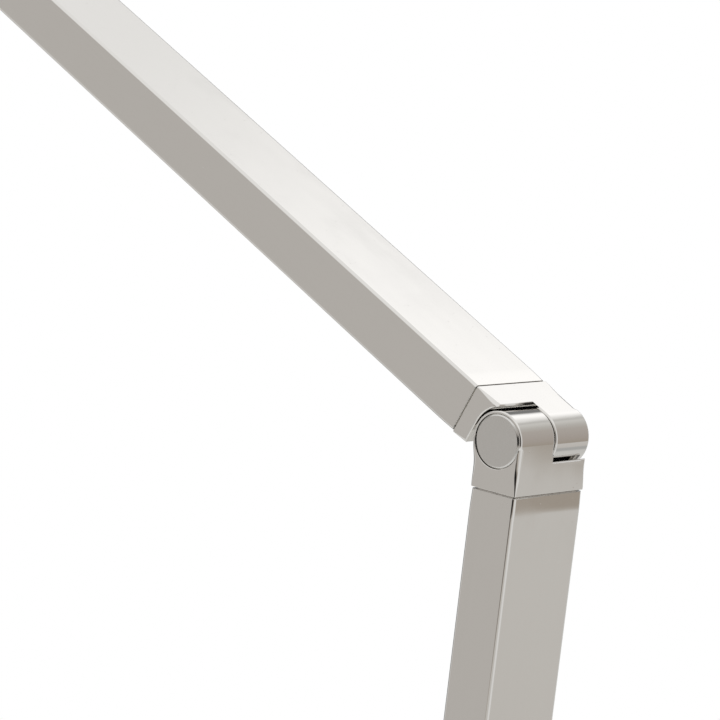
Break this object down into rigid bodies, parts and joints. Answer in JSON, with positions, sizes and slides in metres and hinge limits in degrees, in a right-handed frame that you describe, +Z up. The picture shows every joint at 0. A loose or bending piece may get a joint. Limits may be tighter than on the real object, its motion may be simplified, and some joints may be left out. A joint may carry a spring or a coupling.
{
  "type": "accordion desk lamp",
  "caption": "Folding desk lamp: flat polished bars joined by half-lapped friction knuckles on a weighted slab, with an LED strip in the last bar.",
  "frame": {"origin": "middle of the underside of the base, on the table", "axes": "+Z up; the arms swing in the XZ plane about pivots along Y; the light head reaches towards -X and the cord entry faces +X"},
  "size_m": [0.656, 0.15, 0.6563],
  "materials": {
    "polished_nickel": "polished nickel plate",
    "bright_steel": "bright zinc-plated steel",
    "cast_weight": "as cast, painted",
    "black_rubber": "matt rubber",
    "white_plastic": "moulded, satin",
    "lead_sheath": "extruded sheath",
    "fibre_washer": "matt fibre",
    "raw_aluminium": "extruded, mill finish",
    "led_board_white": "white solder mask",
    "led_phosphor": "clear lens over phosphor",
    "opal_acrylic": "opal, satin"
  },
  "bodies": {
    "base": {"base_cover": "polished_nickel", "base_weight": "cast_weight", "base_plate": "bright_steel", "base_pad": "black_rubber", "plate_screws": "bright_steel", "neck_bolts": "bright_steel", "cord_bush": "black_rubber", "terminal_block": "white_plastic", "led_driver": "white_plastic", "driver_screws": "bright_steel", "base_wiring": "lead_sheath", "switch_body": "polished_nickel", "switch_ring_nut": "bright_steel", "switch_spring": "bright_steel", "base_knuckle": "polished_nickel", "base_pivot_bolt": "polished_nickel", "base_friction_washer": "fibre_washer", "base_cone_washer": "bright_steel", "base_pivot_nut": "bright_steel", "base_stop_pin": "bright_steel"},
    "button": {"switch_button": "polished_nickel"},
    "lower_arm": {"lower_foot_knuckle": "polished_nickel", "base_pivot_cap": "polished_nickel", "lower_tube": "polished_nickel", "lower_elbow_knuckle": "polished_nickel", "lower_grub_screws": "bright_steel", "lower_lead": "lead_sheath", "elbow_pivot_bolt": "polished_nickel", "elbow_friction_washer": "fibre_washer", "elbow_cone_washer": "bright_steel", "elbow_pivot_nut": "bright_steel", "elbow_stop_pin": "bright_steel"},
    "upper_arm": {"upper_elbow_knuckle": "polished_nickel", "elbow_pivot_cap": "polished_nickel", "upper_tube": "polished_nickel", "upper_wrist_knuckle": "polished_nickel", "upper_grub_screws": "bright_steel", "upper_lead": "lead_sheath", "wrist_pivot_bolt": "polished_nickel", "wrist_friction_washer": "fibre_washer", "wrist_cone_washer": "bright_steel", "wrist_pivot_nut": "bright_steel", "wrist_stop_pin": "bright_steel"},
    "head": {"head_knuckle": "polished_nickel", "wrist_pivot_cap": "polished_nickel", "head_tube": "polished_nickel", "head_grub_screws": "bright_steel", "head_lead": "lead_sheath", "led_carrier": "raw_aluminium", "led_board": "led_board_white", "led_chips": "led_phosphor", "opal_sheet": "opal_acrylic", "head_end_cap": "polished_nickel", "end_cap_screws": "bright_steel"}
  },
  "joints": [
    {"name": "base_hinge", "type": "hinge", "parent": "base", "child": "lower_arm", "pos_m": [0.07, 0, 0.057], "axis": [0, 1, 0], "range_deg": [-8.65, 81.35]},
    {"name": "elbow_hinge", "type": "hinge", "parent": "lower_arm", "child": "upper_arm", "pos_m": [0.12537, 0, 0.43295], "axis": [0, 1, 0], "range_deg": [-31.35, 64.65]},
    {"name": "wrist_hinge", "type": "hinge", "parent": "upper_arm", "child": "head", "pos_m": [-0.18966, 0, 0.64544], "axis": [0, 1, 0], "range_deg": [-62, 34]},
    {"name": "switch_press", "type": "slide", "parent": "base", "child": "button", "axis": [0, 0, -1], "range_m": [0, 0.002], "stiffness_N_per_m": 400, "springref_m": -0.001, "deforming": ["switch_spring"]}
  ]
}
